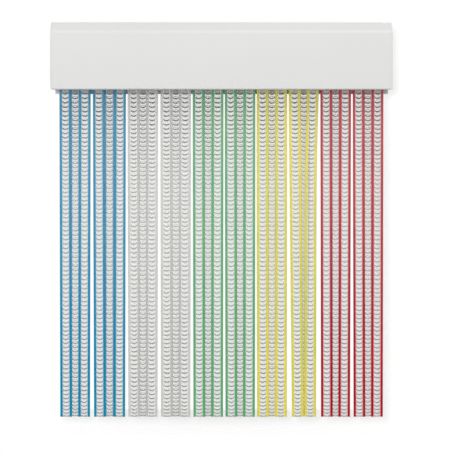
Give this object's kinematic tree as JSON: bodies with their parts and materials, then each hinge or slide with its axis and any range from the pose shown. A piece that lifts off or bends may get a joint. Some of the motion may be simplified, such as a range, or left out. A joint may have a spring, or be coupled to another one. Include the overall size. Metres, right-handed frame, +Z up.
{
  "type": "pvc strip curtain",
  "caption": "Door strip curtain: a white head box on a wall rail, with ribbed clear PVC tapes with coloured edge cords hung in threes from swinging clips.",
  "frame": {"origin": "on the rail's wall face, midway between the two screws", "axes": "+X to the right seen from the front, +Y into the wall, +Z up; the front faces -Y"},
  "size_m": [0.343, 0.062, 0.3972],
  "materials": {
    "white_pvc": "smooth satin white",
    "mill_aluminium": "extruded, matt grey",
    "nylon": "natural moulded",
    "zinc_steel": "zinc plated",
    "blue_pvc": "clear ribbed web, blue cords",
    "clear_pvc": "clear ribbed web, clear cords",
    "green_pvc": "clear ribbed web, green cords",
    "yellow_pvc": "clear ribbed web, yellow cords",
    "red_pvc": "clear ribbed web, red cords"
  },
  "bodies": {
    "head": {"head_rail": "mill_aluminium", "pelmet": "white_pvc", "end_cap_left": "white_pvc", "end_cap_right": "white_pvc", "wall_screw_left": "zinc_steel", "wall_screw_right": "zinc_steel"},
    "hanger_01": {"hanger_01": "nylon"},
    "tape_01_left": {"tape_01_left": "blue_pvc"},
    "tape_01_middle": {"tape_01_middle": "blue_pvc"},
    "tape_01_right": {"tape_01_right": "blue_pvc"},
    "hanger_02": {"hanger_02": "nylon"},
    "tape_02_left": {"tape_02_left": "blue_pvc"},
    "tape_02_middle": {"tape_02_middle": "blue_pvc"},
    "tape_02_right": {"tape_02_right": "blue_pvc"},
    "hanger_03": {"hanger_03": "nylon"},
    "tape_03_left": {"tape_03_left": "clear_pvc"},
    "tape_03_middle": {"tape_03_middle": "clear_pvc"},
    "tape_03_right": {"tape_03_right": "clear_pvc"},
    "hanger_04": {"hanger_04": "nylon"},
    "tape_04_left": {"tape_04_left": "clear_pvc"},
    "tape_04_middle": {"tape_04_middle": "clear_pvc"},
    "tape_04_right": {"tape_04_right": "clear_pvc"},
    "hanger_05": {"hanger_05": "nylon"},
    "tape_05_left": {"tape_05_left": "green_pvc"},
    "tape_05_middle": {"tape_05_middle": "green_pvc"},
    "tape_05_right": {"tape_05_right": "green_pvc"},
    "hanger_06": {"hanger_06": "nylon"},
    "tape_06_left": {"tape_06_left": "green_pvc"},
    "tape_06_middle": {"tape_06_middle": "green_pvc"},
    "tape_06_right": {"tape_06_right": "green_pvc"},
    "hanger_07": {"hanger_07": "nylon"},
    "tape_07_left": {"tape_07_left": "yellow_pvc"},
    "tape_07_middle": {"tape_07_middle": "yellow_pvc"},
    "tape_07_right": {"tape_07_right": "yellow_pvc"},
    "hanger_08": {"hanger_08": "nylon"},
    "tape_08_left": {"tape_08_left": "yellow_pvc"},
    "tape_08_middle": {"tape_08_middle": "yellow_pvc"},
    "tape_08_right": {"tape_08_right": "yellow_pvc"},
    "hanger_09": {"hanger_09": "nylon"},
    "tape_09_left": {"tape_09_left": "red_pvc"},
    "tape_09_middle": {"tape_09_middle": "red_pvc"},
    "tape_09_right": {"tape_09_right": "red_pvc"},
    "hanger_10": {"hanger_10": "nylon"},
    "tape_10_left": {"tape_10_left": "red_pvc"},
    "tape_10_middle": {"tape_10_middle": "red_pvc"},
    "tape_10_right": {"tape_10_right": "red_pvc"}
  },
  "joints": [
    {"name": "hanger_01_swing", "type": "hinge", "parent": "head", "child": "hanger_01", "pos_m": [-0.14778, -0.02, -0.029], "axis": [1, 0, 0], "range_deg": [-20, 20]},
    {"name": "tape_01_left_swing", "type": "hinge", "parent": "hanger_01", "child": "tape_01_left", "pos_m": [-0.15767, -0.0212, -0.0375], "axis": [1, 0, 0], "range_deg": [-25, 0]},
    {"name": "tape_01_middle_swing", "type": "hinge", "parent": "hanger_01", "child": "tape_01_middle", "pos_m": [-0.14778, -0.0176, -0.0375], "axis": [1, 0, 0], "range_deg": [0, 25]},
    {"name": "tape_01_right_swing", "type": "hinge", "parent": "hanger_01", "child": "tape_01_right", "pos_m": [-0.13789, -0.0212, -0.0375], "axis": [1, 0, 0], "range_deg": [-25, 0]},
    {"name": "hanger_02_swing", "type": "hinge", "parent": "head", "child": "hanger_02", "pos_m": [-0.11313, -0.02, -0.029], "axis": [1, 0, 0], "range_deg": [-20, 20]},
    {"name": "tape_02_left_swing", "type": "hinge", "parent": "hanger_02", "child": "tape_02_left", "pos_m": [-0.1239, -0.0212, -0.0375], "axis": [1, 0, 0], "range_deg": [-25, 0]},
    {"name": "tape_02_middle_swing", "type": "hinge", "parent": "hanger_02", "child": "tape_02_middle", "pos_m": [-0.11313, -0.0176, -0.0375], "axis": [1, 0, 0], "range_deg": [0, 25]},
    {"name": "tape_02_right_swing", "type": "hinge", "parent": "hanger_02", "child": "tape_02_right", "pos_m": [-0.10237, -0.0212, -0.0375], "axis": [1, 0, 0], "range_deg": [-25, 0]},
    {"name": "hanger_03_swing", "type": "hinge", "parent": "head", "child": "hanger_03", "pos_m": [-0.07937, -0.02, -0.029], "axis": [1, 0, 0], "range_deg": [-20, 20]},
    {"name": "tape_03_left_swing", "type": "hinge", "parent": "hanger_03", "child": "tape_03_left", "pos_m": [-0.08878, -0.0212, -0.0375], "axis": [1, 0, 0], "range_deg": [-25, 0]},
    {"name": "tape_03_middle_swing", "type": "hinge", "parent": "hanger_03", "child": "tape_03_middle", "pos_m": [-0.07937, -0.0176, -0.0375], "axis": [1, 0, 0], "range_deg": [0, 25]},
    {"name": "tape_03_right_swing", "type": "hinge", "parent": "hanger_03", "child": "tape_03_right", "pos_m": [-0.06996, -0.0212, -0.0375], "axis": [1, 0, 0], "range_deg": [-25, 0]},
    {"name": "hanger_04_swing", "type": "hinge", "parent": "head", "child": "hanger_04", "pos_m": [-0.04624, -0.02, -0.029], "axis": [1, 0, 0], "range_deg": [-20, 20]},
    {"name": "tape_04_left_swing", "type": "hinge", "parent": "hanger_04", "child": "tape_04_left", "pos_m": [-0.05575, -0.0212, -0.0375], "axis": [1, 0, 0], "range_deg": [-25, 0]},
    {"name": "tape_04_middle_swing", "type": "hinge", "parent": "hanger_04", "child": "tape_04_middle", "pos_m": [-0.04624, -0.0176, -0.0375], "axis": [1, 0, 0], "range_deg": [0, 25]},
    {"name": "tape_04_right_swing", "type": "hinge", "parent": "hanger_04", "child": "tape_04_right", "pos_m": [-0.03673, -0.0212, -0.0375], "axis": [1, 0, 0], "range_deg": [-25, 0]},
    {"name": "hanger_05_swing", "type": "hinge", "parent": "head", "child": "hanger_05", "pos_m": [-0.0136, -0.02, -0.029], "axis": [1, 0, 0], "range_deg": [-20, 20]},
    {"name": "tape_05_left_swing", "type": "hinge", "parent": "hanger_05", "child": "tape_05_left", "pos_m": [-0.0232, -0.0212, -0.0375], "axis": [1, 0, 0], "range_deg": [-25, 0]},
    {"name": "tape_05_middle_swing", "type": "hinge", "parent": "hanger_05", "child": "tape_05_middle", "pos_m": [-0.0136, -0.0176, -0.0375], "axis": [1, 0, 0], "range_deg": [0, 25]},
    {"name": "tape_05_right_swing", "type": "hinge", "parent": "hanger_05", "child": "tape_05_right", "pos_m": [-0.00399, -0.0212, -0.0375], "axis": [1, 0, 0], "range_deg": [-25, 0]},
    {"name": "hanger_06_swing", "type": "hinge", "parent": "head", "child": "hanger_06", "pos_m": [0.01865, -0.02, -0.029], "axis": [1, 0, 0], "range_deg": [-20, 20]},
    {"name": "tape_06_left_swing", "type": "hinge", "parent": "hanger_06", "child": "tape_06_left", "pos_m": [0.00915, -0.0212, -0.0375], "axis": [1, 0, 0], "range_deg": [-25, 0]},
    {"name": "tape_06_middle_swing", "type": "hinge", "parent": "hanger_06", "child": "tape_06_middle", "pos_m": [0.01865, -0.0176, -0.0375], "axis": [1, 0, 0], "range_deg": [0, 25]},
    {"name": "tape_06_right_swing", "type": "hinge", "parent": "hanger_06", "child": "tape_06_right", "pos_m": [0.02816, -0.0212, -0.0375], "axis": [1, 0, 0], "range_deg": [-25, 0]},
    {"name": "hanger_07_swing", "type": "hinge", "parent": "head", "child": "hanger_07", "pos_m": [0.05077, -0.02, -0.029], "axis": [1, 0, 0], "range_deg": [-20, 20]},
    {"name": "tape_07_left_swing", "type": "hinge", "parent": "hanger_07", "child": "tape_07_left", "pos_m": [0.04136, -0.0212, -0.0375], "axis": [1, 0, 0], "range_deg": [-25, 0]},
    {"name": "tape_07_middle_swing", "type": "hinge", "parent": "hanger_07", "child": "tape_07_middle", "pos_m": [0.05077, -0.0176, -0.0375], "axis": [1, 0, 0], "range_deg": [0, 25]},
    {"name": "tape_07_right_swing", "type": "hinge", "parent": "hanger_07", "child": "tape_07_right", "pos_m": [0.06018, -0.0212, -0.0375], "axis": [1, 0, 0], "range_deg": [-25, 0]},
    {"name": "hanger_08_swing", "type": "hinge", "parent": "head", "child": "hanger_08", "pos_m": [0.08295, -0.02, -0.029], "axis": [1, 0, 0], "range_deg": [-20, 20]},
    {"name": "tape_08_left_swing", "type": "hinge", "parent": "hanger_08", "child": "tape_08_left", "pos_m": [0.07354, -0.0212, -0.0375], "axis": [1, 0, 0], "range_deg": [-25, 0]},
    {"name": "tape_08_middle_swing", "type": "hinge", "parent": "hanger_08", "child": "tape_08_middle", "pos_m": [0.08295, -0.0176, -0.0375], "axis": [1, 0, 0], "range_deg": [0, 25]},
    {"name": "tape_08_right_swing", "type": "hinge", "parent": "hanger_08", "child": "tape_08_right", "pos_m": [0.09236, -0.0212, -0.0375], "axis": [1, 0, 0], "range_deg": [-25, 0]},
    {"name": "hanger_09_swing", "type": "hinge", "parent": "head", "child": "hanger_09", "pos_m": [0.11514, -0.02, -0.029], "axis": [1, 0, 0], "range_deg": [-20, 20]},
    {"name": "tape_09_left_swing", "type": "hinge", "parent": "hanger_09", "child": "tape_09_left", "pos_m": [0.10553, -0.0212, -0.0375], "axis": [1, 0, 0], "range_deg": [-25, 0]},
    {"name": "tape_09_middle_swing", "type": "hinge", "parent": "hanger_09", "child": "tape_09_middle", "pos_m": [0.11514, -0.0176, -0.0375], "axis": [1, 0, 0], "range_deg": [0, 25]},
    {"name": "tape_09_right_swing", "type": "hinge", "parent": "hanger_09", "child": "tape_09_right", "pos_m": [0.12474, -0.0212, -0.0375], "axis": [1, 0, 0], "range_deg": [-25, 0]},
    {"name": "hanger_10_swing", "type": "hinge", "parent": "head", "child": "hanger_10", "pos_m": [0.14778, -0.02, -0.029], "axis": [1, 0, 0], "range_deg": [-20, 20]},
    {"name": "tape_10_left_swing", "type": "hinge", "parent": "hanger_10", "child": "tape_10_left", "pos_m": [0.13818, -0.0212, -0.0375], "axis": [1, 0, 0], "range_deg": [-25, 0]},
    {"name": "tape_10_middle_swing", "type": "hinge", "parent": "hanger_10", "child": "tape_10_middle", "pos_m": [0.14778, -0.0176, -0.0375], "axis": [1, 0, 0], "range_deg": [0, 25]},
    {"name": "tape_10_right_swing", "type": "hinge", "parent": "hanger_10", "child": "tape_10_right", "pos_m": [0.15738, -0.0212, -0.0375], "axis": [1, 0, 0], "range_deg": [-25, 0]}
  ]
}
